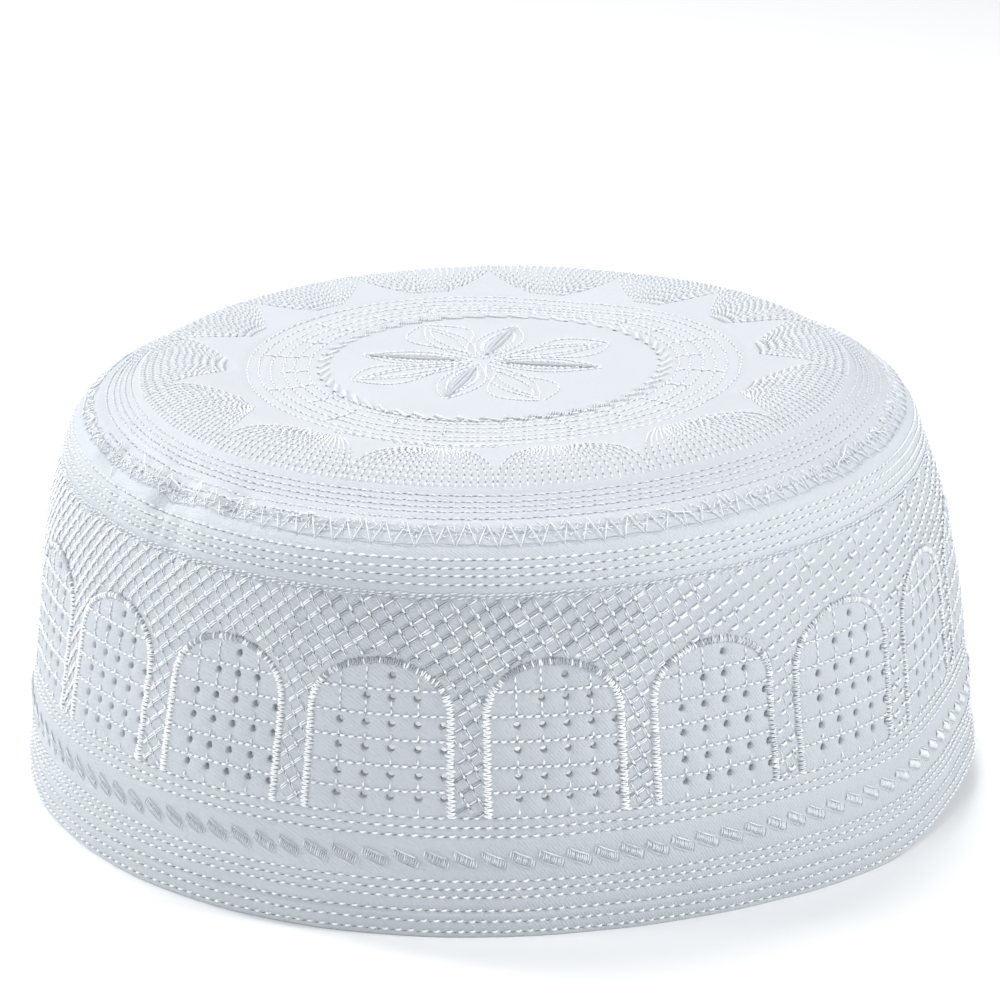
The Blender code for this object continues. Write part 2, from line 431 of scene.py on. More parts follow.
# Embroidery of the top panel. Places are right of and behind the middle of the top
topStitching = {
    "outerRows": (74.9, 76.1, 77.2, 78.3, 79.9),
    "extraRow": (81.5, -72, -21),  # radius, and the angles it runs between
    "middleRings": (38.2, 40.8, 43.3, 45.8, 48.3, 50.8),
    "partRings": ((53.0, -33, 6), (54.8, -18, 3), (36.9, -60, 30)),
    "linkDegrees": 15.0,
    "fans": 14,
    "firstWedgeDegrees": 1.9,     # middle of a plain wedge between two fans
    "fanFrom": (53.8, 1.6),       # radius of a fan's inner tip, and how much further out it is at the front
    "fanMeets": (66.8, 4.2),      # radius where neighbouring fans meet, and the same
    "fanTo": 73.6,
    "fanLines": 21,
    "ropeRadius": 35.2,
    "ropeMiddle": (0.2, -0.9),
    "flowerMiddle": (-2.3, 0.8),
    "rowStitch": (2.1, 0.95),
    "fanStitch": (1.65, 0.7),
    "ringStitch": (2.05, 0.95),
    "partRingStitch": (2.1, 0.9),
    "linkStitch": (1.6, 0.6),
    "rowThread": (0.36, 0.34, (-0.35, 0.7, 0.7, -0.35)),
    "fanThread": (0.36, 0.34, (-0.3, 0.95, -0.3)),
    "ringThread": (0.34, 0.30, (-0.35, 0.7, 0.7, -0.35)),
    "rowHoles": (0.95, 0.42, 0.15),
    "fanHoles": (0.7, 0.33, 0.14),
    "ringHoles": (0.9, 0.40, 0.16),
}
fanPitch = 360.0 / topStitching["fans"]


def fanCreep(degrees):  # the fans are sewn closer together at the front than at the sides
    turn = np.radians(degrees)
    return -2.6 * np.sin(2 * turn) - 1.6 * np.sin(3 * turn) - 0.5


def fanShare(degrees, radius):  # how much of its pitch a fan fills at a radius
    towardsFront = np.cos(np.radians(degrees))
    inner = topStitching["fanFrom"][0] + topStitching["fanFrom"][1] * towardsFront
    meets = topStitching["fanMeets"][0] + topStitching["fanMeets"][1] * towardsFront
    left = np.clip((meets - radius) / (meets - inner), 0, 1)
    return 1 - 0.80 * left**1.6


def besideFan(x, y):  # distance in from the edge of the nearest fan
    degrees, radius = np.degrees(np.arctan2(x, -y)), np.hypot(x, y)
    sewn = degrees - fanCreep(degrees - fanCreep(degrees))
    local = (sewn - topStitching["firstWedgeDegrees"]) % fanPitch - fanPitch / 2
    return np.radians(fanShare(degrees, radius) * fanPitch / 2 - np.abs(local)) * radius


def topRelief(x, y):
    radius = np.hypot(x, y)
    relief = 0.08 * np.sin(x * 0.13 + 1) * np.sin(y * 0.12)
    for row in topStitching["outerRows"]:
        relief = relief - drawnIn(radius - row, "topRow")
    for ring in topStitching["middleRings"]:
        relief = relief - drawnIn(radius - ring, "middleRing")
    stitched = ease(besideFan(x, y), -0.6, 1.4) * ease(radius, 52, 54) + ease(radius, 73, 75)
    relief = relief - 0.32 * np.minimum(stitched, 1) * (1 - ease(radius, 79.5, 82.2))
    relief = relief - 0.22 * ease(radius, 36.5, 38) * (1 - ease(radius, 50.5, 52))
    fromRope = np.hypot(x - topStitching["ropeMiddle"][0], y - topStitching["ropeMiddle"][1])
    relief = relief - drawnIn(fromRope - topStitching["ropeRadius"], "topRope")
    return relief + seamRelief(np.degrees(np.arctan2(x, -y)), alongTop(radius) - seamAlong)


def topPoint(x, y):
    return capPoint(np.arctan2(x, -y), alongTop(np.hypot(x, y)))


def topPlace(pattern, relief=True):  # pattern: right, back
    x, y = pattern[..., 0], pattern[..., 1]
    point = topPoint(x, y)
    across = topPoint(x + 0.3, y) - topPoint(x - 0.3, y)
    normal = unit(np.cross(across, topPoint(x, y + 0.3) - topPoint(x, y - 0.3)))
    if relief:
        point = point + normal * topRelief(x, y)[..., None]
    return point, normal


def seamPlace(pattern, relief=True):  # pattern: degrees, distance up the cloth from the seam
    angle, along = np.radians(pattern[..., 0]), seamAlong + pattern[..., 1]
    point = capPoint(angle, along)
    around = capPoint(angle + 0.004, along) - capPoint(angle - 0.004, along)
    up = capPoint(angle, along + 0.4) - capPoint(angle, along - 0.4)
    return point, unit(np.cross(around, up))


# Materials
finishes = {
    # Painted light: the band cloth turns paler from 64 to 71 mm up, standing in for the shoulder facing up
    # into the lamps
    "bandCloth": {"colour": (0.505, 0.538, 0.578), "roughness": 0.55, "weave": 0.95, "hatch": 0.34,
                  "paintedLightAbove": (64, 71), "paintedLightGain": 1.12},  # the smooth shoulder is paler
    "topCloth": {"colour": (0.580, 0.606, 0.655), "roughness": 0.55, "weave": 0.70, "hatch": 0.30},
    "thread": {"colour": (0.94, 0.965, 0.99), "roughness": 0.26},
    "softThread": {"colour": (0.81, 0.84, 0.885), "roughness": 0.28},  # finer thread, less glossy
    # Painted shade: a lightly greyed copy of the white thread, for the arch satin on the right and the top's
    # rope ring
    "satinPaintedLightShade": {"colour": (0.72, 0.75, 0.79), "roughness": 0.24},
    # Painted shade: a greyer copy of the white thread, for rope band blocks outside the gloss and their lower
    # edges
    "satinPaintedMidShade": {"colour": (0.655, 0.685, 0.73), "roughness": 0.26},
    # Painted shade: a dark copy of the white thread for the petals' satin veins
    "veinSatinPaintedShade": {"colour": (0.57, 0.60, 0.65), "roughness": 0.24},
    # Painted shade: a darker copy of the white thread, for stitches whose gloss faces away from the lamps
    "threadPaintedShade": {"colour": (0.47, 0.50, 0.545), "roughness": 0.30},  # threads whose gloss faces away
    # Painted shade: the dark colour of the needle holes stands for the shadow inside them
    "needleHolePaintedShade": {"colour": (0.26, 0.28, 0.31), "roughness": 0.9},
    "floor": {"colour": (0.95, 0.955, 0.96), "roughness": 0.9},
}


def setInputs(node, values):
    for socket, value in values.items():
        node.inputs[socket].default_value = value


def addNode(material, kind, values={}):
    node = material.node_tree.nodes.new(kind)
    setInputs(node, values)
    return node


def newMaterial(name, values):  # a material and its shader
    material = bpy.data.materials.new(name)
    material.use_nodes = True
    shader = material.node_tree.nodes["Principled BSDF"]
    setInputs(shader, values)
    return material, shader


def toneRamp(material, colour, darkest, start, end):  # from a darker tone up to the colour
    ramp = addNode(material, "ShaderNodeValToRGB")
    low, high = ramp.color_ramp.elements
    low.color, low.position = (*(part * darkest for part in colour), 1), start
    high.color, high.position = (*colour, 1), end
    return ramp


# Painted light: a paler colour above, for where the shoulder faces the lamps
def paintedLightAbove(material, place, tone, finish):  # the tone, going over to a paler colour at the heights given
    links = material.node_tree.links
    parts = addNode(material, "ShaderNodeSeparateXYZ")
    low, high = finish["paintedLightAbove"]
    rise = addNode(material, "ShaderNodeMapRange", {"From Min": low * 0.001, "From Max": high * 0.001})
    shoulder = addNode(material, "ShaderNodeMix")
    shoulder.data_type, shoulder.blend_type = "RGBA", "MIX"
    first, second = shoulder.inputs[6:8]  # its two colours
    second.default_value = (*(part * finish["paintedLightGain"] for part in finish["colour"]), 1)
    links.new(place.outputs["Object"], parts.inputs["Vector"])
    links.new(parts.outputs["Z"], rise.inputs["Value"])
    links.new(rise.outputs["Result"], shoulder.inputs["Factor"])
    links.new(tone, first)
    return shoulder.outputs[2]


def clothMaterial(name, finish):
    material, shader = newMaterial(name, {
        "Roughness": finish["roughness"],
        "Specular IOR Level": 0.35,
        "Sheen Weight": 0.15,
        "Sheen Roughness": 0.5,
    })
    links = material.node_tree.links
    place = addNode(material, "ShaderNodeTexCoord")
    # Faint cloudiness of the dyed cloth, uneven yarns, and the slanting ribs of the weave
    patches = addNode(material, "ShaderNodeTexNoise", {"Scale": 45, "Detail": 3})
    tone = toneRamp(material, finish["colour"], 0.965, 0.3, 0.7)
    weave = addNode(material, "ShaderNodeTexNoise", {"Scale": 1700, "Detail": 2})
    hatch = addNode(material, "ShaderNodeTexWave", {"Scale": 720, "Distortion": 1.2})
    hatch.bands_direction = "DIAGONAL"
    ribs = addNode(material, "ShaderNodeBump", {"Strength": finish["hatch"], "Distance": 0.00012})
    bump = addNode(material, "ShaderNodeBump", {"Strength": finish["weave"], "Distance": 0.0002})
    for texture in (patches, weave, hatch):
        links.new(place.outputs["Object"], texture.inputs["Vector"])
    links.new(patches.outputs["Fac"], tone.inputs["Fac"])
    colour = tone.outputs["Color"]
    if "paintedLightGain" in finish:
        colour = paintedLightAbove(material, place, colour, finish)
    links.new(colour, shader.inputs["Base Color"])
    links.new(hatch.outputs["Fac"], ribs.inputs["Height"])
    links.new(ribs.outputs["Normal"], bump.inputs["Normal"])
    links.new(weave.outputs["Fac"], bump.inputs["Height"])
    links.new(bump.outputs["Normal"], shader.inputs["Normal"])
    return material


def threadMaterial(name, finish):
    material, shader = newMaterial(name, {"Roughness": finish["roughness"], "Specular IOR Level": 0.9})
    links = material.node_tree.links
    place = addNode(material, "ShaderNodeTexCoord")
    strands = addNode(material, "ShaderNodeTexNoise", {"Scale": 900})
    tone = toneRamp(material, finish["colour"], 0.93, 0.35, 0.65)
    links.new(place.outputs["Object"], strands.inputs["Vector"])
    links.new(strands.outputs["Fac"], tone.inputs["Fac"])
    links.new(tone.outputs["Color"], shader.inputs["Base Color"])
    return material


def plainMaterial(name, finish):
    values = {"Base Color": (*finish["colour"], 1), "Roughness": finish["roughness"]}
    return newMaterial(name, values)[0]


bandClothMaterial = clothMaterial("bandCloth", finishes["bandCloth"])
topClothMaterial = clothMaterial("topCloth", finishes["topCloth"])
whiteThread = threadMaterial("whiteThread", finishes["thread"])
softThread, satinPaintedLightShade, satinPaintedMidShade, veinSatinPaintedShade, threadPaintedShade = (
    threadMaterial(name, finishes[name])
    for name in ("softThread", "satinPaintedLightShade", "satinPaintedMidShade", "veinSatinPaintedShade", "threadPaintedShade")
)


def meshFrom(name, points, faceSets, material):
    mesh = bpy.data.meshes.new(name)
    corners = np.concatenate([faces.ravel() for faces in faceSets]).astype(np.int32)
    totals = np.concatenate([np.full(len(faces), faces.shape[1]) for faces in faceSets])
    starts = np.concatenate([[0], np.cumsum(totals)[:-1]]).astype(np.int32)
    mesh.vertices.add(len(points))
    mesh.vertices.foreach_set("co", (points * 0.001).astype(np.float32).ravel())
    mesh.loops.add(len(corners))
    mesh.loops.foreach_set("vertex_index", corners)
    mesh.polygons.add(len(totals))
    mesh.polygons.foreach_set("loop_start", starts)
    mesh.update(calc_edges=True)
    mesh.validate()
    mesh.shade_smooth()
    piece = bpy.data.objects.new(name, mesh)
    piece.data.materials.append(material)
    bpy.context.scene.collection.objects.link(piece)
    triangles = int((totals - 2).sum())
    print(name, triangles, "triangles")
    return piece


def nearestDistances(points, others):
    tree = kdtree.KDTree(len(others))
    for index, (x, y) in enumerate(others):
        tree.insert((x, y, 0), index)
    tree.balance()
    return np.array([tree.find((x, y, 0))[2] for x, y in points])


def thin(points, taken, clearance):  # leaves out points that lie close to ones already there
    return points[nearestDistances(points, taken) > clearance]


def triangulate(points, loops):
    edges = [(loop[i - 1], loop[i]) for loop in loops for i in range(len(loop))]
    made = delaunay_2d_cdt([tuple(p) for p in points], edges, [], 0, 1e-5)
    flat = np.array([(v[0], v[1]) for v in made[0]])
    faces = np.array([face for face in made[2] if len(face) == 3])
    a, b, c = flat[faces[:, 0]], flat[faces[:, 1]], flat[faces[:, 2]]
    area = (b[:, 0] - a[:, 0]) * (c[:, 1] - a[:, 1]) - (b[:, 1] - a[:, 1]) * (c[:, 0] - a[:, 0])
    faces = np.where((area < 0)[:, None], faces[:, ::-1], faces)
    newPlace = {old: new for new, group in enumerate(made[3]) for old in group}
    return flat, faces[np.abs(area) > 1e-7], newPlace


def stepsThrough(rows, low, high, beside, widest):  # levels on each row, beside it, and between
    levels = {low, high}
    for row in rows:
        levels |= {round(level, 3) for level in (row - beside, row, row + beside) if low < level < high}
    levels = sorted(levels)
    gaps = [1.0] + [after - before for before, after in zip(levels, levels[1:])]
    levels = [level for level, gap in zip(levels, gaps) if gap > 0.12 or level == high]
    full = []
    for start, end in zip(levels, levels[1:]):
        parts = max(int(np.ceil((end - start) / widest)), 1)
        full += [start + (end - start) * part / parts for part in range(parts)]
    return np.array(full + [levels[-1]])


bandColumns = 540                 # corners round the band's rim and seam
topEdgeCorners = 540
eyeletCorners = 12
eyeletTurns = np.arange(eyeletCorners) * 2 * pi / eyeletCorners
eyeletSpots = np.array([
    (centre * perDegree + place, row)
    for centre in archCentres for row, places in eyelets for place in places
])
bandLeft, bandRight = (backJoin - 360) * perDegree, backJoin * perDegree
bandTop = np.interp(seamAlong - capShape["seamGap"] / 2, profileAlong, profileHeight)


def eyeletRing(radius):
    ring = np.stack([np.cos(eyeletTurns), np.sin(eyeletTurns)], -1) * radius
    return (eyeletSpots[:, None, :] + ring[None]).reshape(-1, 2)


def edgeColumns(count):
    return np.linspace(bandLeft, bandRight, count + 1)


def gridOf(xs, ys):
    return np.stack(np.meshgrid(xs, ys), -1).reshape(-1, 2)


def trimHoles(flat, faces):
    return faces[nearestDistances(flat[faces].mean(1), eyeletSpots) > eyeletRadius * 0.97]


def closeRound(flat, faces):  # joins the two ends of the band at the back
    atRight = np.flatnonzero(np.abs(flat[:, 0] - bandRight) < 1e-4)
    atLeft = np.flatnonzero(np.abs(flat[:, 0] - bandLeft) < 1e-4)
    atRight, atLeft = atRight[np.argsort(flat[atRight, 1])], atLeft[np.argsort(flat[atLeft, 1])]
    swap = np.arange(len(flat))
    swap[atRight] = atLeft
    return swap[faces], swap


def bandLayer(points):  # flat points and faces, the loop round each eyelet, and the rim and seam edges
    loops = [range(i * eyeletCorners, (i + 1) * eyeletCorners) for i in range(len(eyeletSpots))]
    flat, faces, newPlace = triangulate(points, loops)
    faces = trimHoles(flat, faces)
    faces, swap = closeRound(flat, faces)
    rings = np.array([[newPlace[i] for i in loop] for loop in loops])
    edges = []
    for level in (0.0, bandTop):
        on = np.flatnonzero(np.abs(flat[:, 1] - level) < 1e-4)
        on = on[np.argsort(flat[on, 0])][:bandColumns]
        edges.append(swap[on])
    return flat, faces, rings, edges


def joinLoops(lower, upper):
    return np.stack([lower, np.roll(lower, -1), np.roll(upper, -1), upper], -1)


def bandEnds(heights):  # points up both ends of the band, which are joined at the back
    return np.concatenate([gridOf([x], heights) for x in (bandLeft, bandRight)])


# Points closer together at the eyelets, rows and arches, and on the lattice's lines and cells
def outerBandPoints():
    hemLevels = [row for row in sideRows if row < 25] + [0.25, sideStitching["hemFold"]]
    shoulderLevels = [row for row in sideRows if row > 60] + [bandTop - 0.3]
    fixed = np.concatenate([
        eyeletRing(eyeletRadius),
        eyeletRing(eyeletRadius + 0.45),
        gridOf(edgeColumns(bandColumns), stepsThrough(hemLevels, 0.0, 24.4, 0.45, 1.15)),
        gridOf(edgeColumns(bandColumns), stepsThrough(shoulderLevels, 65.4, bandTop, 0.45, 1.1)),
        bandEnds(np.arange(25.6, 65, 1.2)),
    ])
    path = archLine(1.15)
    besideArch = np.concatenate([offsetLine(path, offset) for offset in (-1.0, 0.0, 1.0)])
    besideArch = atEveryArch(besideArch[besideArch[:, 1] > 24.8]).reshape(-1, 2)
    fixed = np.concatenate([fixed, thin(besideArch, fixed, 0.3)])
    halfCells = np.arange(-latticeSpan, latticeSpan, 0.5)
    degrees, height = latticeNode(*gridOf(halfCells, halfCells).T)
    keep = (np.abs(degrees + 2) < 179.6) & inLattice(degrees, height, 0.45)
    cells = np.stack([degrees[keep] * perDegree, height[keep]], -1)
    fixed = np.concatenate([fixed, thin(cells, fixed, 0.38)])
    levels = stepsThrough(arches["rows"], 24.4, 53.4, 0.5, 1.15)
    inside = gridOf(stepsThrough(arches["columns"], -12.3, 12.3, 0.5, 1.15), levels)
    inside = atEveryArch(inside[archDistance(inside[:, 0], inside[:, 1]) < -1.3]).reshape(-1, 2)
    return np.concatenate([fixed, thin(inside, fixed, 0.42)])


def innerBandPoints():
    heights = np.linspace(4, 72, 18)
    edges = gridOf(edgeColumns(bandColumns), np.array([0.0, bandTop]))
    fixed = np.concatenate([eyeletRing(eyeletRadius), edges, bandEnds(heights)])
    return np.concatenate([fixed, thin(gridOf(edgeColumns(160)[1:-1], heights), fixed, 1.2)])


def makeBandCloth():
    outer, outerFaces, outerRings, outerEdges = bandLayer(outerBandPoints())
    inner, innerFaces, innerRings, innerEdges = bandLayer(innerBandPoints())
    shift = len(outer)
    outerPoints, _ = sidePlace(asDegrees(outer))
    innerPoints, innerNormals = sidePlace(asDegrees(inner), False)
    innerPoints = innerPoints - innerNormals * (capShape["wall"] - 0.25 * np.exp(-inner[:, 1:] / 0.5))
    for flat, points in ((inner, innerPoints), (outer, outerPoints)):
        onRim = flat[:, 1] <= 0
        points[onRim, 2] = rimLift(surfaceAngle(asDegrees(flat[onRim])[:, 0], 0), 0)
    eyeletWalls = [
        joinLoops(innerRing + shift, outerRing)[:, ::-1]
        for innerRing, outerRing in zip(innerRings, outerRings)
    ]
    rim = joinLoops(innerEdges[0] + shift, outerEdges[0])
    seam = joinLoops(outerEdges[1], innerEdges[1] + shift)
    every = [outerFaces, innerFaces[:, ::-1] + shift, np.concatenate(eyeletWalls), rim, seam]
    return tidy("sideBand", np.concatenate([outerPoints, innerPoints]), every, bandClothMaterial)


def tidy(name, points, faceSets, material):  # leaves out points that no face uses
    used = np.unique(np.concatenate([faces.ravel() for faces in faceSets]))
    place = np.full(len(points), -1)
    place[used] = np.arange(len(used))
    return meshFrom(name, points[used], [place[faces] for faces in faceSets], material)


def archLine(step):  # the middle of an arch's satin column, from left foot to right foot
    a, b = arches["halfWidth"], arches["rise"]
    turns = np.linspace(pi, 0, 200)
    top = np.stack([a * np.cos(turns), arches["spring"] + b * np.sin(turns)], -1)
    line = np.vstack([(-a, arches["foot"]), top, (a, arches["foot"])])
    return evenly(line, step)


def lengthsAlong(line):
    return np.concatenate([[0], np.cumsum(np.linalg.norm(np.diff(line, axis=0), axis=1))])


def evenly(line, step):
    lengths = lengthsAlong(line)
    count = max(int(round(lengths[-1] / step)), 1)
    at = np.linspace(0, lengths[-1], count + 1)
    return np.stack([np.interp(at, lengths, line[:, axis]) for axis in (0, 1)], -1)


def offsetLine(line, offset):  # a line beside another, to its left by that much
    direction = unit(np.gradient(line, axis=0))
    return line + np.stack([-direction[:, 1], direction[:, 0]], -1) * offset


def outFrom(turns):  # directions out from the middle of the top, for angles right of front
    return np.stack([np.sin(turns), -np.cos(turns)], -1)


def topPoints(levels, step, last):  # rings about a step apart, and the last one with that many points
    made = [np.zeros((1, 2))]
    for level in levels[:-1]:
        count = max(int(round(2 * pi * level / step)), 6)
        made.append(outFrom(np.arange(count) * 2 * pi / count + level * 7) * level)
    made.append(outFrom(np.arange(last) * 2 * pi / last) * levels[-1])
    return np.concatenate(made)


def makeTopCloth():
    edgeRadius = np.interp(seamAlong + capShape["seamGap"] / 2, profileAlong, profileRadius)
    sewn = topStitching["outerRows"] + topStitching["middleRings"] + (edgeRadius - 0.3,)
    outerLevels = stepsThrough(sewn, 1.0, edgeRadius, 0.45, 0.95)
    innerLevels = np.append(np.arange(4, edgeRadius - 2, 4.0), edgeRadius)
    outer, outerFaces, _ = triangulate(topPoints(outerLevels, 0.95, topEdgeCorners), [])
    inner, innerFaces, _ = triangulate(topPoints(innerLevels, 4.5, topEdgeCorners), [])
    outerPoints, _ = topPlace(outer)
    innerPoints, innerNormals = topPlace(inner, False)
    innerPoints = innerPoints - innerNormals * capShape["wall"]
    edges = []
    for flat in (outer, inner):
        on = np.flatnonzero(np.abs(np.hypot(flat[:, 0], flat[:, 1]) - edgeRadius) < 1e-3)
        edges.append(on[np.argsort(np.arctan2(flat[on, 0], -flat[on, 1]) % (2 * pi - 1e-6))])
    rim = joinLoops(edges[1] + len(outer), edges[0])
    every = [outerFaces, innerFaces[:, ::-1] + len(outer), rim]
    return tidy("topPanel", np.concatenate([outerPoints, innerPoints]), every, topClothMaterial)


sideBand = makeBandCloth()
topPanel = makeTopCloth()
print("cloth made")


# Stitches. Each is a short rounded length of thread whose ends go down into the cloth
def sampled(line, start, end, count):  # points on a line, between many pairs of distances along it
    lengths = lengthsAlong(line)
    at = start[:, None] + (end - start)[:, None] * np.linspace(0, 1, count)[None]
    return np.stack([np.interp(at, lengths, line[:, axis]) for axis in (0, 1)], -1)


def running(line, stitch, gap, count=4, first=0.0, slant=0.0):  # a row of running stitches on a line
    length = np.linalg.norm(np.diff(line, axis=0), axis=1).sum() - first
    number = max(int(round(length / stitch)), 1)
    step = length / number
    starts = first + np.arange(number) * step + gap / 2
    ends = starts + step - gap
    wobble = chance.uniform(-0.05, 0.05, number)
    made = sampled(line, starts + wobble, ends + wobble, count)
    made[..., 1] += slant * np.linspace(-1, 1, count)
    return made + chance.normal(0, 0.025, (number, 1, 2))


def between(starts, ends, count):
    return starts[:, None] + (ends - starts)[:, None] * np.linspace(0, 1, count)[None, :, None]


threadCorners = 4                 # across a thread


# Each group: stitches, their place on the cloth, width, thickness, and each point's height in thicknesses
def threads(groups):
    points, quads, caps, shift = [], [], [], 0
    corner = np.arange(threadCorners)
    turns = corner * 2 * pi / threadCorners
    for stitches, place, width, thick, heights in groups:
        base, normal = place(stitches)
        number, count = stitches.shape[:2]
        wide = width * chance.uniform(0.88, 1.12, (number, 1, 1))
        centre = base + normal * (np.array(heights) * thick)[None, :, None]
        along = unit(np.gradient(centre, axis=1))
        side = unit(np.cross(along, normal))
        up = np.cross(side, along)
        taper = np.ones(count)
        taper[[0, -1]] = 0.55
        halfWide = (wide * taper[None, :, None])[..., None] * 0.5
        halfThick = (thick * 0.5 * taper)[None, :, None, None]
        across = side[:, :, None] * halfWide * np.cos(turns)[None, None, :, None]
        ring = centre[:, :, None] + across + up[:, :, None] * halfThick * np.sin(turns)[None, None, :, None]
        points.append(ring.reshape(-1, 3))
        starts = (shift + np.arange(number) * count * threadCorners)[:, None] + corner
        level = np.arange(count - 1)[None, :, None] * threadCorners
        a = starts[:, None] + level
        b = np.roll(starts, -1, axis=1)[:, None] + level
        quads.append(np.stack([a, b, b + threadCorners, a + threadCorners], -1).reshape(-1, 4))
        caps += [starts[:, ::-1], starts + (count - 1) * threadCorners]
        shift += number * count * threadCorners
    return np.concatenate(points), [np.concatenate(quads), np.concatenate(caps)]


def sew(name, groups, thread=None):
    points, faceSets = threads(groups)
    return meshFrom(name, points, faceSets, thread or whiteThread)


needleSpots = []  # where the needle went through: points, normals, half lengths, half widths


def pierce(stitches, place, gap, long, wide):  # a needle hole before each stitch
    ahead = unit(stitches[:, 1] - stitches[:, 0])
    spots, normals = place(stitches[:, 0] - ahead * gap / 2)
    beyond, _ = place(stitches[:, 0])
    ahead = unit(beyond - spots)
    long = long * chance.uniform(0.75, 1.15, (len(spots), 1))
    needleSpots.append((spots, normals, ahead * long, unit(np.cross(normals, ahead)) * wide))


def rowAround(height):
    return np.stack([np.linspace(bandLeft, bandRight, 721), np.full(721, height)], -1)


def sidePlaceAround(stitches):  # the same places from millimetres round the rim
    return sidePlace(asDegrees(stitches))


def sewRows(name, heights, stitch, thread):
    rows, gap = [], stitch[1]
    for height in heights:
        line = rowAround(height)
        line[:, 1] += 0.10 * np.sin(line[:, 0] * 0.021 + height * 3)
        rows.append(running(line, *stitch, first=chance.uniform(0, 1), slant=sideStitching["slant"]))
    rows = np.concatenate(rows)
    pierce(rows, sidePlaceAround, gap, gap * 0.48, 0.13)
    return sew(name, [(rows, sidePlaceAround, *thread)])


def sewLatticeEdge():  # two tight, uneven rows where the lattice threads turn back
    stitch = sideStitching["latticeEdgeStitch"]
    rows = [
        running(rowAround(height), *stitch, first=chance.uniform(0, 1), slant=slant)
        for height, slant in zip(sideStitching["latticeEdgeRows"], sideStitching["latticeEdgeSlants"])
    ]
    rows = np.concatenate(rows)
    rows[..., 1] += chance.normal(0, 0.10, (len(rows), 1))
    group = (rows, sidePlaceAround, *sideStitching["latticeEdgeThread"])
    return sew("latticeEdgeStitches", [group], softThread)


hemStitches, footStitches, upperStitches = (
    sewRows(kind + "Stitches", sideStitching[kind + "Rows"], sideStitching[kind + "Stitch"], thread)
    for kind, thread in (
        ("hem", sideStitching["thread"]),
        ("foot", sideStitching["thread"]),
        ("upper", sideStitching["upperThread"]),
    )
)
latticeEdgeStitches = sewLatticeEdge()
print("rows sewn")


def inTwo(stitches, share):  # splits stitches by chance, so that a share of them is in the second part
    second = chance.uniform(0, 1, len(stitches)) < share
    return stitches[~second], stitches[second]


def onRight(degrees):  # 1 on the right of the cap and 0 elsewhere
    return ease(degrees, 12, 35) * (1 - ease(degrees, 130, 160))


ropeBand = {
    "count": 114,
    "firstDegrees": 5.70,
    "upperLeft": 17.6,            # height of each block's upper left corner
    "across": 4.3,
    "down": 2.1,
    "depth": 1.75,                # length of the satin stitches
    "lean": -0.35,                # how far right of their upper ends their lower ends are
    "stitchesEach": 12,
    "brightAngles": (-30, 25),    # the thread's gloss comes in between these
    "filling": (0.34, 0.40, (-0.2, 0.8, -0.2)),
    "edging": (0.26, 0.32, (-0.1, 1.1, 1.1, -0.1)),
    "lowerEdging": (0.20, 0.22, (-0.2, 0.6, 0.6, -0.2)),
}


def sewRopeBand():
    starts = (ropeBand["firstDegrees"] + np.arange(ropeBand["count"]) * 360 / ropeBand["count"]) * perDegree
    starts = np.where(starts > bandRight, starts - 360 * perDegree, starts)
    edge = np.array((ropeBand["across"], -ropeBand["down"]))
    drop = np.array((ropeBand["lean"], -ropeBand["depth"]))
    upper = np.linspace(0.03, 0.97, ropeBand["stitchesEach"])[:, None] * edge + (0, ropeBand["upperLeft"])
    each = np.stack([upper + drop * share for share in (0, 0.5, 1)], 1)
    blocks = each[None] + np.stack([starts, np.zeros(len(starts))], -1)[:, None, None]
    blocks = blocks.reshape(-1, 3, 2)
    blocks = blocks + chance.normal(0, 0.05, (len(blocks), 1, 2))
    corners = np.stack([starts, np.full(len(starts), ropeBand["upperLeft"])], -1)
    pitch = 360 * perDegree / ropeBand["count"]
    lowerLeft, lowerRight = corners + drop * 1.15, corners + drop * 1.15 + edge + (0.35, -0.1)
    above = between(corners + (-0.1, 0.12), corners + edge + (0.1, 0.12), 4)
    below = between(lowerLeft, lowerRight, 4)
    back = between(lowerRight, corners + drop * 1.1 + (pitch, 0), 4)
    # Blocks outside the angles where the gloss comes in are sewn in a painted shade
    (bright, paintedShadeStitches), (brightEdges, paintedShadeEdges) = [
        inTwo(stitches, 1 - ease(stitches[:, 0, 0] / perDegree, *ropeBand["brightAngles"]))
        for stitches in (blocks, above)
    ]
    return (
        sew("ropeBandStitches", [
            (bright, sidePlaceAround, *ropeBand["filling"]),
            (brightEdges, sidePlaceAround, *ropeBand["edging"]),
        ], softThread),
        sew("ropeBandPaintedShade", [
            (paintedShadeStitches, sidePlaceAround, *ropeBand["filling"]),
            (paintedShadeEdges, sidePlaceAround, *ropeBand["edging"]),
            (np.concatenate([below, back]), sidePlaceAround, *ropeBand["lowerEdging"]),
        ], satinPaintedMidShade),
    )


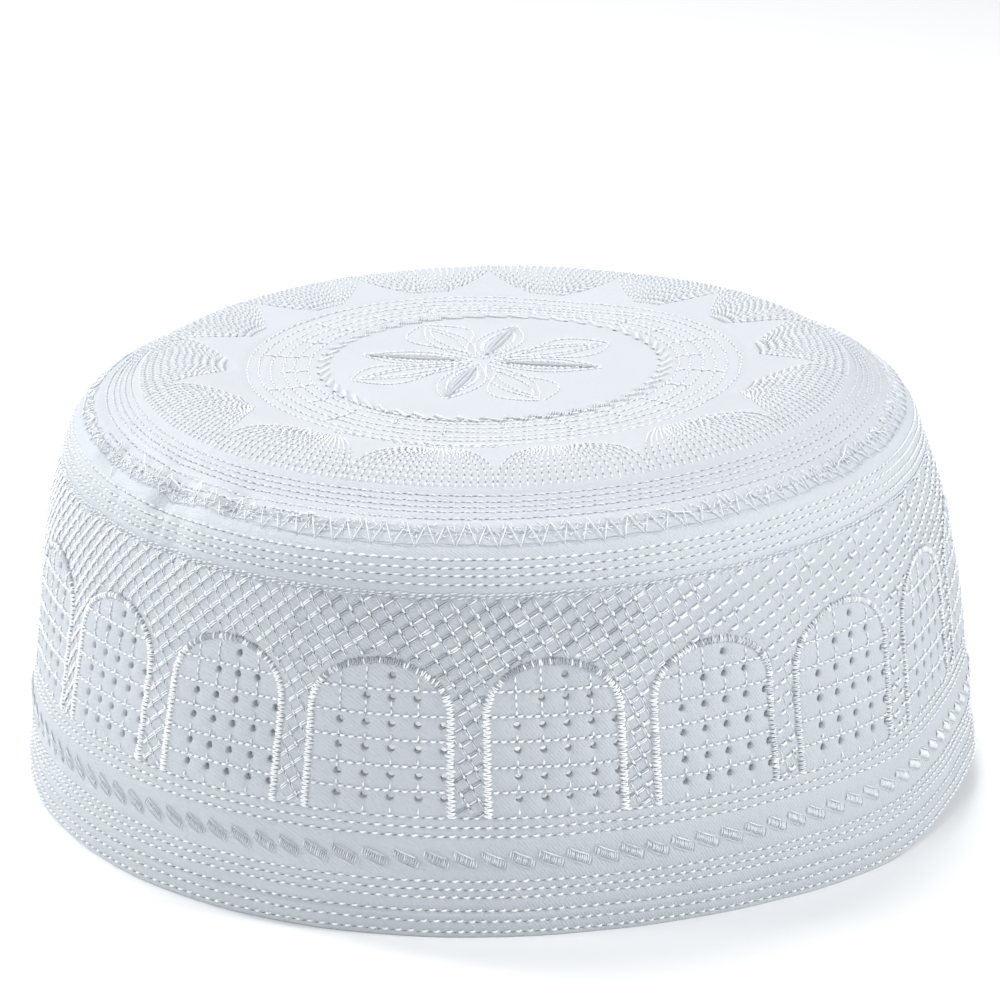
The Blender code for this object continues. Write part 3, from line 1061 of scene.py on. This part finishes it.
def sewArches():
    line = archLine(arches["satinStep"])
    direction = unit(np.gradient(line, axis=0))
    half = arches["satinWidth"] / 2 * (1 - 0.2 * ease(np.abs(direction[:, :1]), 0.3, 0.9))
    inner, outer = offsetLine(line, -half), offsetLine(line, half)
    each = np.stack([inner, inner * 0.7 + outer * 0.3, inner * 0.3 + outer * 0.7, outer], 1)
    slant = np.where(np.arange(len(line)) % 2 == 0, 0.11, -0.11)[:, None, None] * direction[:, None]
    slant = slant * np.array([-1, -0.4, 0.4, 1])[:, None]
    outwards = (outer - inner)[:, None] / arches["satinWidth"]
    reachOut = chance.normal(0, 0.13, (len(archCentres), len(line), 4, 1)) * np.array([1, 0, 0, 1])[:, None]
    every = (atEveryArch(each) + slant + outwards * reachOut).reshape(-1, 4, 2)
    every = every + chance.normal(0, 0.035, (len(every), 1, 2))
    # Painted shade: stitches over the arch tops, whose gloss faces away, go into the darker thread, and most
    # on the right into a lightly greyed one
    overTop = np.tile(ease(np.abs(direction[:, 0]), 0.45, 0.95), len(archCentres))
    bright, darkPaintedShade = inTwo(every, overTop * (0.75 - 0.5 * onRight(every[:, 0, 0] / perDegree)))
    bright, paintedShadeStitches = inTwo(bright, 0.8 * onRight(bright[:, 0, 0] / perDegree))
    return (
        sew("archSatin", [(bright, sidePlaceAround, *arches["satin"])]),
        sew("archSatinRightPaintedShade", [(paintedShadeStitches, sidePlaceAround, *arches["satinOnRight"])], satinPaintedLightShade),
        sew("archSatinTopsPaintedShade", [(darkPaintedShade, sidePlaceAround, *arches["satinOverTop"])], threadPaintedShade),
    )


def archRowLines():  # lines of stitches inside an arch: start, end, and whether it goes across
    lines = []
    for row in arches["rows"]:
        above = max(row - arches["spring"], 0) / arches["rise"]
        end = arches["halfWidth"] * np.sqrt(1 - above**2) - 0.7
        lines.append(((-end, row), (end, row), True))
    for column in arches["columns"]:
        top = arches["spring"] + arches["rise"] * np.sqrt(1 - (column / arches["halfWidth"]) ** 2) - 0.8
        lines.append(((column - 0.25, arches["foot"]), (column - 0.25, top), False))
    return lines


def clearOfEyelets(points):  # points measured from the middle of their arch
    clear = np.ones(len(points), bool)
    for height, places in eyelets:
        for place in places:
            clear &= np.hypot(points[:, 0] - place, points[:, 1] - height) > eyeletRadius + 0.45
    return clear


def sewArchRows():
    across, upward = [], []
    for centre in archCentres:
        middleFoot = np.array((centre * perDegree, 0))
        for start, end, goesAcross in archRowLines():
            line = evenly(np.array([start, end]) + middleFoot, 1.0)
            stitches = running(line, *arches["stitch"], first=0.1, slant=0.06 * goesAcross)
            clear = clearOfEyelets(stitches.mean(1) - middleFoot)
            (across if goesAcross else upward).append(stitches[clear])
    across, upward = np.concatenate(across), np.concatenate(upward)
    pierce(across, sidePlaceAround, *arches["rowHoles"])
    pierce(upward, sidePlaceAround, *arches["columnHoles"])
    return sew("archRowStitches", [
        (across, sidePlaceAround, *arches["rowThread"]),
        (upward, sidePlaceAround, *arches["columnThread"]),
    ])


# One stitch on each side of each cell, cut back where it meets an arch or a row
def latticeStitches(alongRising):
    lines = np.arange(-latticeSpan, latticeSpan)
    counts = gridOf(lines, lines).astype(float)
    step = np.array([0.0, 1.0]) if alongRising else np.array([1.0, 0.0])
    start, end = counts, counts + step
    ends = [np.stack(latticeNode(at[:, 0], at[:, 1]), -1) for at in (start, end)]
    mid = np.stack(latticeNode(*(counts + step / 2).T), -1)
    keep = (np.abs(mid[:, 0] + 2) < 179.5) & inLattice(mid[:, 0], mid[:, 1], -0.1)
    a, b, counts, mid = ends[0][keep], ends[1][keep], counts[keep], mid[keep]
    low, high = np.zeros(len(a)), np.ones(len(a))
    for _ in range(3):
        for share, sign in ((low, 1), (high, -1)):
            at = counts + step * share[:, None]
            place = np.stack(latticeNode(at[:, 0], at[:, 1]), -1)
            outside = ~inLattice(place[:, 0], place[:, 1], -0.25)
            share += sign * 0.14 * outside
    shares = low[:, None] + (high - low)[:, None] * np.array([0.04, 0.28, 0.72, 0.96])
    at = counts[:, None, :] + step * shares[..., None]
    return np.stack(latticeNode(at[..., 0].ravel(), at[..., 1].ravel()), -1).reshape(len(a), 4, 2)


# Paired threads both ways, and a knot wherever they cross, with short bold stitches on the right
def sewLattice():
    pairs = []
    for alongRising, aside in ((True, (-0.10, 0.17)), (False, (0.17, 0.11))):
        stitches = latticeStitches(alongRising)
        bolder = onRight(stitches[:, :1, :1]) * alongRising
        middle = stitches.mean(1, keepdims=True)
        stitches = middle + (stitches - middle) * (1 - 0.36 * bolder)
        aside = asDegrees(np.array(aside)) * (1 - 0.5 * bolder)
        pair = np.concatenate([stitches + aside, stitches - aside])
        pairs.append(pair + asDegrees(chance.normal(0, 0.025, (len(pair), 1, 2))))
    rising, falling = pairs
    knots = falling[:len(falling) // 2, 0]
    knots = knots[inLattice(knots[:, 0], knots[:, 1], 0.3)]
    lies = asDegrees(np.array((-0.26, 0.46))) * np.array([-1, 0, 1])[:, None]
    knots = knots[:, None] + lies + asDegrees(chance.normal(0, 0.10, (len(knots), 1, 2)))
    knots, _ = inTwo(knots, 0.9 * onRight(knots[:, 0, 0]))
    falling, _ = inTwo(falling, 0.8 * onRight(falling[:, 0, 0]))
    falling = np.stack([falling[:, 0], (falling[:, 0] + falling[:, 3]) / 2, falling[:, 3]], 1)
    pierce(knots, sidePlace, *lattice["knotHoles"])
    # Painted shade: near the front, most rising threads are in the darker thread
    bright, darkPaintedShade = inTwo(rising, 0.75 * np.exp(-((rising[:, 0, 0] + 1) / 19) ** 4))
    bright, bold = inTwo(bright, 1.0 * (onRight(bright[:, 0, 0]) > 0.5))
    return (
        sew("latticeRising", [(bright, sidePlace, *lattice["rising"]), (bold, sidePlace, *lattice["bold"])]),
        sew("latticeRisingPaintedShade", [(darkPaintedShade, sidePlace, *lattice["risingPaintedShade"])], threadPaintedShade),
        sew("latticeFalling", [(falling, sidePlace, *lattice["falling"])], softThread),
        sew("latticeKnots", [(knots, sidePlace, *lattice["knots"])]),
    )


ropeBandStitches, ropeBandPaintedShade = sewRopeBand()
archSatin, archSatinRightPaintedShade, archSatinTopsPaintedShade = sewArches()
archRowStitches = sewArchRows()
latticeRising, latticeRisingPaintedShade, latticeFalling, latticeKnots = sewLattice()
print("side band embroidered")

seamStitching = {
    "zigs": 144,
    "low": -3.1,                  # below and above the seam
    "high": 2.1,
    "lowLeft": -2.4,              # the zigzag is narrower at the left
    "highLeft": 0.7,
    "narrowAngles": (-165, -150, -40, -26),
    "tipAt": 0.62,                # where in its pitch each zig reaches down to
    "down": (0.24, 0.24, (0.0, 0.9, 1.3, 1.1, 0.2)),
    "up": (0.24, 0.24, (0.2, 1.0, 0.9, 0.5, -0.3)),
    "holes": (0.0, 0.26, 0.16),
    "linkAbove": 0.6,             # the thread that ties the lower points together
    "links": (0.20, 0.24, (0.3, 0.9, 0.9, 0.3)),
    "fuzzEnds": 1700,
    "fuzz": (0.20, 0.22, (-0.2, 1.1, -0.2)),
    "loops": (0.26, 0.26, (0.0, 2.4, 3.0, 2.4, 0.0)),
    "loose": (0.24, 0.24, (0.0, 1.4, 2.2, 2.4, 2.0, 1.6, 2.2, 2.6, 2.2, 1.8, 1.2, 0.0)),
    "barAngles": (-34.9, -32.2, -29.6, -26.9, -24.2, -20.4),  # short bars at the front left
    "barLevels": (-0.9, 0.0, 0.8),
    "bars": (0.20, 0.20, (0.0, 0.9, 0.9, 0.0)),
}
# Loose ends of thread that lie across the seam: start and end, each degrees and distance up the cloth
looseEnds = (
    (-50.0, 1.2, -42.0, 0.4),
    (-58.0, 3.4, -53.5, -0.6),
    (-38.0, 0.8, -33.5, 2.6),
    (-63.0, -1.0, -60.0, -4.5),
    (-26.0, -0.6, -22.0, 1.9),
    (21.0, 1.6, 26.0, -1.0),
    (52.0, -0.8, 57.5, 2.2),
    (64.0, 1.0, 67.0, -1.6),
)
# Tall loops at the front left, each degrees and height
tallLoops = (
    (-51.5, 3.0),
    (-48.8, 2.4),
    (-45.8, 1.9),
    (-42.0, 3.1),
    (-38.4, 2.2),
    (-34.0, 2.6),
    (-61.0, 2.2),
    (-66.0, 2.6),
)


def seamWidths(degrees):  # low and high edge of the zigzag
    starts, full, wanes, ends = seamStitching["narrowAngles"]
    narrow = ease(degrees, starts, full) - ease(degrees, wanes, ends)
    low = seamStitching["low"] + (seamStitching["lowLeft"] - seamStitching["low"]) * narrow
    return low, seamStitching["high"] + (seamStitching["highLeft"] - seamStitching["high"]) * narrow


def followingOnes(points):  # for each point the next one round the cap
    following = np.roll(points, -1, 0)
    following[-1, 0] += 360
    return following


def seamZigs():  # the stitches down, the stitches up, and the thread that links their tips
    number, pitch = seamStitching["zigs"], 360 / seamStitching["zigs"]
    at = np.arange(number) * pitch - 180 + chance.uniform(-0.25, 0.25, number)
    low, high = seamWidths(at)
    tops = np.stack([at, high + chance.normal(0, 0.22, number)], -1)
    tips = np.stack([at + pitch * seamStitching["tipAt"], low + chance.normal(0, 0.14, number)], -1)
    raised = (0, seamStitching["linkAbove"])
    links = between(tips + raised, followingOnes(tips) + raised, 4)
    links[:, 1:3, 1] += chance.normal(0, 0.10, (number, 1))
    return between(tops, tips, 5), between(tips, followingOnes(tops) - (0, 0.5), 5), links


def seamFuzz():
    number = seamStitching["fuzzEnds"]
    at = chance.uniform(-180, 180, number)
    low, high = seamWidths(at)
    level = high - 0.2 - chance.uniform(0, 1, number) * (high - low) * 0.62 + chance.normal(0, 0.15, number)
    length, tilt = chance.uniform(0.7, 1.7, number), chance.uniform(0, pi, number)
    half = np.stack([length * np.cos(tilt) / 1.44, length * np.sin(tilt)], -1) / 2
    middles = np.stack([at, level], -1)
    fuzz = between(middles - half, middles + half, 3)
    fuzz[:, 1] += chance.normal(0, 0.14, (number, 2))
    return fuzz


def seamBars():
    bars = [
        ((degrees - 0.6, level), (degrees + 0.6, level - 0.08))
        for degrees in seamStitching["barAngles"] for level in seamStitching["barLevels"]
    ]
    bars = np.array(bars) + chance.normal(0, 0.08, (len(bars), 1, 2))
    return between(bars[:, 0], bars[:, 1], 4)


def seamLoops():
    shape = ((-0.5, 0, -1.2), (-0.3, 0.6, 0), (0, 1, 0), (0.35, 0.7, 0), (0.8, 0, -1.0))
    return np.array([
        [(degrees + aside, rise * share + lower) for aside, share, lower in shape]
        for degrees, rise in tallLoops
    ])


def sewSeam():
    down, up, links = seamZigs()
    fuzz = seamFuzz()
    bars = seamBars()
    ends = np.array(looseEnds).reshape(-1, 2, 2)
    loose = between(ends[:, 0], ends[:, 1], 12)
    loose[..., 1] += 0.25 * np.sin(np.linspace(0, 3 * pi, 12)) + 0.3 * np.sin(np.linspace(0, pi, 12))
    pierce(down, seamPlace, *seamStitching["holes"])
    return (
        # The links are in the painted shade thread
        sew("seamLinks", [(links, seamPlace, *seamStitching["links"])], threadPaintedShade),
        sew("seamZigzag", [
            (down, seamPlace, *seamStitching["down"]),
            (up, seamPlace, *seamStitching["up"]),
            (bars, seamPlace, *seamStitching["bars"]),
        ], softThread),
        sew("seamLooseThreads", [
            (fuzz, seamPlace, *seamStitching["fuzz"]),
            (seamLoops(), seamPlace, *seamStitching["loops"]),
            (loose, seamPlace, *seamStitching["loose"]),
        ]),
    )


seamLinks, seamZigzag, seamLooseThreads = sewSeam()


def arcLine(radius, start, end):  # angles right of front
    return outFrom(np.radians(np.linspace(start, end, 200))) * radius


def ringLine(radius, wave):
    turns = np.linspace(0, 2 * pi, 721)
    return outFrom(turns) * (radius + wave * np.sin(turns * 5 + radius))[:, None]


def sewTopRows():
    lines = [ringLine(row, 0.08) for row in topStitching["outerRows"]] + [arcLine(*topStitching["extraRow"])]
    rows = np.concatenate([running(line, *topStitching["rowStitch"]) for line in lines])
    pierce(rows, topPlace, *topStitching["rowHoles"])
    return sew("topRowStitches", [(rows, topPlace, *topStitching["rowThread"])], softThread)


def sewFans():
    made = []
    for fan in range(topStitching["fans"]):
        middleDegrees = topStitching["firstWedgeDegrees"] + (fan + 0.5) * fanPitch
        tip = topStitching["fanFrom"][0] + topStitching["fanFrom"][1] * cos(radians(middleDegrees))
        for place, share in enumerate(np.linspace(-0.97, 0.97, topStitching["fanLines"])):
            radii = np.linspace(tip + (0.7 if place % 2 else 3.4), topStitching["fanTo"], 40)
            sewn = middleDegrees + share * fanShare(middleDegrees, radii) * fanPitch / 2
            line = outFrom(np.radians(sewn + fanCreep(sewn))) * radii[:, None]
            made.append(running(line, *topStitching["fanStitch"], count=3, first=0.8 * (place % 2)))
    made = np.concatenate(made)
    pierce(made, topPlace, *topStitching["fanHoles"])
    return sew("fanStitches", [(made, topPlace, *topStitching["fanThread"])])


def sewMiddleRings():
    rings = [ringLine(ring, 0.22) for ring in topStitching["middleRings"]]
    made = [running(ring, *topStitching["ringStitch"]) for ring in rings]
    made += [running(arcLine(*ring), *topStitching["partRingStitch"]) for ring in topStitching["partRings"]]
    inner, outer = topStitching["middleRings"][0], topStitching["middleRings"][-2]
    for link in range(int(360 / topStitching["linkDegrees"])):
        turn = radians(link * topStitching["linkDegrees"] + 3)
        reachOut = np.linspace(inner, outer if link % 2 else inner + 6, 12)
        bend = turn + 0.02 * np.sin(np.linspace(0, pi, 12))
        made.append(running(outFrom(bend) * reachOut[:, None], *topStitching["linkStitch"]))
    made = np.concatenate(made)
    made = made + chance.normal(0, 0.07, (len(made), 1, 2))
    pierce(made, topPlace, *topStitching["ringHoles"])
    return sew("middleRingStitches", [(made, topPlace, *topStitching["ringThread"])])


topRope = {
    "blocks": 50,
    "slant": 27,                  # degrees between a block and the ring
    "halfLength": 2.1,
    "halfWidth": 0.55,
    "stitchesEach": 10,
    "thread": (0.40, 0.40, (-0.3, 0.8, 0.8, -0.3)),
}


def sewTopRope():
    made = []
    for block in range(topRope["blocks"]):
        turn = 2 * pi * block / topRope["blocks"]
        at = np.array([sin(turn), -cos(turn)]) * topStitching["ropeRadius"] + topStitching["ropeMiddle"]
        slant = turn - radians(topRope["slant"])
        forward = np.array([cos(slant), sin(slant)])
        sideways = np.array([-forward[1], forward[0]])
        across = sideways + forward * 0.35
        for share in np.linspace(-1, 1, topRope["stitchesEach"]):
            foot = at + forward * share * topRope["halfLength"]
            made.append([foot + across * side * topRope["halfWidth"] for side in (-1, -0.5, 0.5, 1)])
    made = np.array(made) + chance.normal(0, 0.05, (len(made), 1, 2))
    # The rope ring's satin is in a painted shade
    return sew("topRopeStitches", [(made, topPlace, *topRope["thread"])], satinPaintedLightShade)


flower = {
    "satinPetals": (165, 255, 345, 75),   # directions, degrees from the right
    "outlinedTurn": 39,
    "satinFrom": 4.0,
    "satinLength": 24.5,
    "satinHalfWidth": 4.4,
    "innerHalfWidth": 2.5,
    "veinHalfWidth": 0.95,
    # Lines of an outlined petal: start, end, half width, and where it is widest
    "outlinedLines": ((7.0, 29.0, 6.8, 0.62), (3.0, 27.5, 3.6, 0.5), (5.0, 25.0, 1.8, 0.6)),
    "hatching": ((0.62, 0.7, 0.82, 0.9), (0.32, 0.38, 0.46, 0.52)),  # places between vein and edge
    "stitch": (1.6, 0.6),
    "outline": (0.34, 0.32, (-0.35, 0.75, 0.75, -0.35)),
    "hatch": (0.28, 0.24, (-0.2, 0.7, 0.7, -0.2)),
    "satin": (0.42, 0.42, (-0.1, 0.9, 0.9, -0.2)),
    "holes": (0.6, 0.30, 0.13),
}


def petalHalfWidth(share, widest, at=0.5):
    return widest * np.sin(pi * share ** (np.log(0.5) / np.log(at))) ** 0.9


def petalAxes(direction):
    forward = np.array([cos(radians(direction)), sin(radians(direction))])
    return forward, np.array([-forward[1], forward[0]])


def petalEdge(direction, start, end, widest, at=0.5, first=0.0):  # stitches up one side of a petal
    forward, left = petalAxes(direction)
    share = np.linspace(0.0, 1.0, 60)
    wide = petalHalfWidth(share, abs(widest), at) * np.sign(widest)
    line = (start + share * (end - start))[:, None] * forward + wide[:, None] * left
    return running(line + topStitching["flowerMiddle"], *flower["stitch"], first=first)


def sewFlower():
    start, end = flower["satinFrom"], flower["satinLength"]
    outlines, satin, hatch = [], [], []
    for degrees in flower["satinPetals"]:
        forward, left = petalAxes(degrees)
        for sign in (-1, 1):
            outlines.append(petalEdge(degrees, 2.0, end + 1, flower["satinHalfWidth"] * sign))
            outlines.append(petalEdge(degrees, start, end - 2, flower["innerHalfWidth"] * sign, first=0.5))
        for share in np.linspace(0.05, 0.97, 50):
            reachOut = petalHalfWidth(share, flower["veinHalfWidth"]) + 0.12
            foot = (start + share * (end - start)) * forward + topStitching["flowerMiddle"]
            for sign in (-1, 1):
                way = (sign * left * 0.9 - forward * 0.5) * reachOut
                satin.append([foot + way * place for place in (0.0, 0.3, 0.7, 1.0)])
        for share in np.linspace(0.14, 0.9, 15):
            wide = petalHalfWidth(share, flower["satinHalfWidth"])
            foot = (start + share * (end - start)) * forward + topStitching["flowerMiddle"]
            for sign in (-1, 1) if wide > 2.6 else ():
                way = (sign * left * 0.8 - forward * 0.6) * wide
                hatch += [[foot + way * place for place in places] for places in flower["hatching"]]
        outlined = degrees + flower["outlinedTurn"]
        for sign in (-1, 1):
            for lineStart, lineEnd, widest, at in flower["outlinedLines"]:
                outlines.append(petalEdge(outlined, lineStart, lineEnd, widest * sign, at))
    outlines, satin, hatch = np.concatenate(outlines), np.array(satin), np.array(hatch)
    pierce(outlines, topPlace, *flower["holes"])
    return (
        sew("flowerStitches", [
            (outlines, topPlace, *flower["outline"]),
            (hatch, topPlace, *flower["hatch"]),
        ]),
        # The petal veins are in a painted shade
        sew("petalSatin", [(satin, topPlace, *flower["satin"])], veinSatinPaintedShade),
    )


# Painted shade: the pits are coloured dark for the shadow in the needle holes
def makeNeedleHoles():  # small dark pits, each a closed shape that points down into the cloth
    spots, normals, ahead, aside = (np.concatenate(parts) for parts in zip(*needleSpots))
    top = spots + normals * 0.07
    corners = [top + ahead, top + aside, top - ahead, top - aside, spots - normals * 0.25]
    points = np.stack(corners, 1).reshape(-1, 3)
    first = np.arange(len(spots))[:, None] * 5
    mouths = first + (0, 1, 2, 3)
    walls = np.concatenate([first + faces for faces in ((1, 0, 4), (2, 1, 4), (3, 2, 4), (0, 3, 4))])
    shade = plainMaterial("needleHoleShade", finishes["needleHolePaintedShade"])
    return meshFrom("needleHolesPaintedShade", points, [mouths, walls], shade)


topRowStitches = sewTopRows()
fanStitches = sewFans()
middleRingStitches = sewMiddleRings()
topRopeStitches = sewTopRope()
flowerStitches, petalSatin = sewFlower()
needleHolesPaintedShade = makeNeedleHoles()
print("top panel embroidered")

# Who stands for what
bandThreads = [
    hemStitches, footStitches, upperStitches, latticeEdgeStitches, ropeBandStitches, ropeBandPaintedShade,
    archSatin, archSatinRightPaintedShade, archSatinTopsPaintedShade, archRowStitches,
    latticeRising, latticeRisingPaintedShade, latticeFalling, latticeKnots,
    seamLinks, seamZigzag, seamLooseThreads, needleHolesPaintedShade,
]
topThreads = [topRowStitches, fanStitches, middleRingStitches, topRopeStitches, flowerStitches, petalSatin]
for piece in [sideBand, topPanel] + bandThreads + topThreads:
    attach(piece, "root")
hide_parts("side_band")
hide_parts("crown_top")

# Floor, light and camera. The floor and the lights are in metres, the camera's distance in millimetres
softBoxes = {
    "softBoxAbove": {"place": (-0.12, 0.30, 1.25), "size": 0.45, "power": 6.2, "towards": (0, 0, 0.04)},
    "softBoxLeft": {"place": (-1.05, -0.30, 0.55), "size": 0.30, "power": 3.05, "towards": (0, 0, 0.04)},
    "softBoxLeftBack": {"place": (-0.95, 0.45, 0.60), "size": 0.40, "power": 7.1, "towards": (0, 0, 0.04)},
    "softBoxRight": {"place": (1.05, -0.25, 0.60), "size": 0.30, "power": 8.9, "towards": (0, 0, 0.04)},
    "softBoxFront": {"place": (-0.30, -1.30, 0.75), "size": 0.35, "power": 7.1, "towards": (0, 0, 0.04)},
    "softBoxBehind": {"place": (0, 2.4, 2.0), "size": 1.4, "power": 18.0, "towards": (0, 2.6, 0)},
}
studio = {
    "floorSize": 6.0,
    "skyColour": (0.93, 0.96, 1.0),
    "skyStrength": 0.245,
    "within": {"place": (0, 0, 0.040), "size": 0.02, "power": 0.055},  # what the thin cloth lets through
    "distance": 846.0,
    "elevation": 21.7546,
    "yaw": -0.0178,
    "pitch": 3.4638,
    "roll": -1.8513,
    "lens": 148.73,
}


def makeFloor():
    half = studio["floorSize"] / 2
    corners = np.array([(-half, -half, 0), (half, -half, 0), (half, half, 0), (-half, half, 0)]) * 1000
    material = plainMaterial("paleFloor", finishes["floor"])
    meshFrom("floor", corners, [np.array([[0, 1, 2, 3]])], material)


def makeLight(name, kind, settings):
    light = bpy.data.lights.new(name, kind)
    light.energy = settings["power"]
    lamp = bpy.data.objects.new(name, light)
    bpy.context.scene.collection.objects.link(lamp)
    return light, lamp


def makeSoftBox(name, settings):
    light, lamp = makeLight(name, "AREA", settings)
    light.shape = "DISK"
    light.size = settings["size"]
    lamp.matrix_world = facing(np.array(settings["place"]), np.array(settings["towards"]))


def makeGlow(name, settings):  # a weak light inside the hollow
    light, lamp = makeLight(name, "POINT", settings)
    light.shadow_soft_size = settings["size"]
    lamp.location = settings["place"]


def placed(right, up, back, place):  # a matrix from three directions and a place
    rows = np.stack([right, up, back], -1).tolist()
    return Matrix([(*row, at) for row, at in zip(rows, place.tolist())] + [(0, 0, 0, 1)])


def facing(place, target):
    back = unit(place - target)
    right = unit(np.cross((0, 0, 1), back))
    return placed(right, np.cross(back, right), back, place)


def turned(axis, degrees):
    return np.array(Matrix.Rotation(radians(degrees), 3, axis.tolist()))


def makeCamera():
    e = radians(studio["elevation"])
    place = np.array([0, -studio["distance"] * cos(e), studio["distance"] * sin(e)])
    ahead = unit(-place)
    right = unit(np.cross(ahead, (0, 0, 1)))
    up = np.cross(right, ahead)
    yaw = turned(up, studio["yaw"])
    ahead, right = yaw @ ahead, yaw @ right
    pitch = turned(right, studio["pitch"])
    ahead, up = pitch @ ahead, pitch @ up
    roll = turned(ahead, studio["roll"])
    right, up = roll @ right, roll @ up
    place = (place - (*middle, 0)) / 1000
    lens = bpy.data.cameras.new("camera")
    lens.lens = studio["lens"]
    lens.sensor_width = 36
    lens.clip_start, lens.clip_end = 0.05, 50
    camera = bpy.data.objects.new("camera", lens)
    camera.matrix_world = placed(right, up, -ahead, place)
    bpy.context.scene.collection.objects.link(camera)
    bpy.context.scene.camera = camera


def makeSky():
    world = bpy.data.worlds.new("studio")
    world.use_nodes = True
    background = world.node_tree.nodes["Background"]
    background.inputs["Color"].default_value = (*studio["skyColour"], 1)
    background.inputs["Strength"].default_value = studio["skyStrength"]
    bpy.context.scene.world = world
    bpy.context.scene.view_settings.view_transform = "Standard"  # whites stay as white as in the photograph


makeFloor()
for name, settings in softBoxes.items():
    makeSoftBox(name, settings)
makeGlow("glowWithin", studio["within"])
makeCamera()
makeSky()
print("studio ready")
